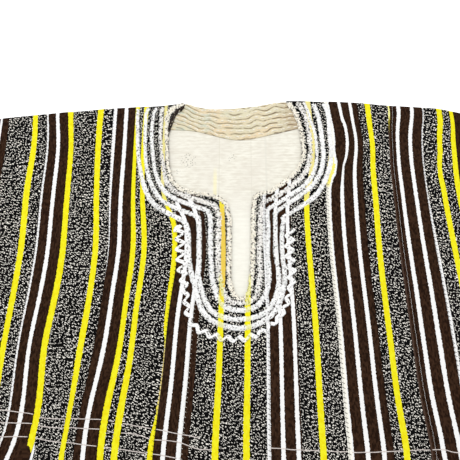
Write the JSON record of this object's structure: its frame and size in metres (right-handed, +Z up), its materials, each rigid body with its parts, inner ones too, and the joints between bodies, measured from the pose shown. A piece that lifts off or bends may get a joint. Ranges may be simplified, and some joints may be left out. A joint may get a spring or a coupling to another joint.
{
  "type": "fugu smock",
  "caption": "Strip-woven smock laid flat, front up, with a slit neck in corded embroidery, short wide sleeves, side gores and a flared hem.",
  "frame": {"origin": "on the table under the middle of the laid smock", "axes": "+X across towards the sleeve on the picture's right, +Y along the body towards the shoulders, +Z up out of the front"},
  "size_m": [1.1996, 0.8798, 0.0115],
  "materials": {
    "mottled_strip": "salt and pepper strip weave with yellow and white warp stripes",
    "brown_strip": "dark brown strip weave with white and yellow warp stripes",
    "lining": "undyed cotton strip cloth",
    "facing": "tan cotton with rows of running stitches",
    "embroidery": "thick white cotton yarn, corded"
  },
  "bodies": {
    "root": {"front_side_left": "mottled_strip", "back_side_left": "mottled_strip", "front_brown_left": "brown_strip", "back_brown_left": "brown_strip", "front_mottled_left": "mottled_strip", "back_mottled_left": "mottled_strip", "front_wide_left": "mottled_strip", "back_wide_left": "mottled_strip", "front_narrow_left": "brown_strip", "back_narrow_left": "brown_strip", "front_centre": "mottled_strip", "back_centre": "mottled_strip", "front_inner_right": "mottled_strip", "back_inner_right": "mottled_strip", "front_brown_right": "brown_strip", "back_brown_right": "brown_strip", "front_mottled_right": "mottled_strip", "back_mottled_right": "mottled_strip", "front_outer_right": "brown_strip", "back_outer_right": "brown_strip", "front_side_right": "mottled_strip", "back_side_right": "mottled_strip", "front_gore_left": "mottled_strip", "front_gore_right": "mottled_strip", "back_gore_left": "mottled_strip", "back_gore_right": "mottled_strip", "sleeve_left_upper": "brown_strip", "sleeve_left_cuff": "mottled_strip", "sleeve_right_upper": "brown_strip", "sleeve_right_cuff": "mottled_strip", "back_lining": "lining", "neck_facing": "facing", "embroidery_row_1": "embroidery", "embroidery_row_2": "embroidery", "embroidery_row_3": "embroidery", "embroidery_row_4": "embroidery", "embroidery_row_5": "embroidery", "embroidery_zigzag": "embroidery"}
  },
  "joints": []
}
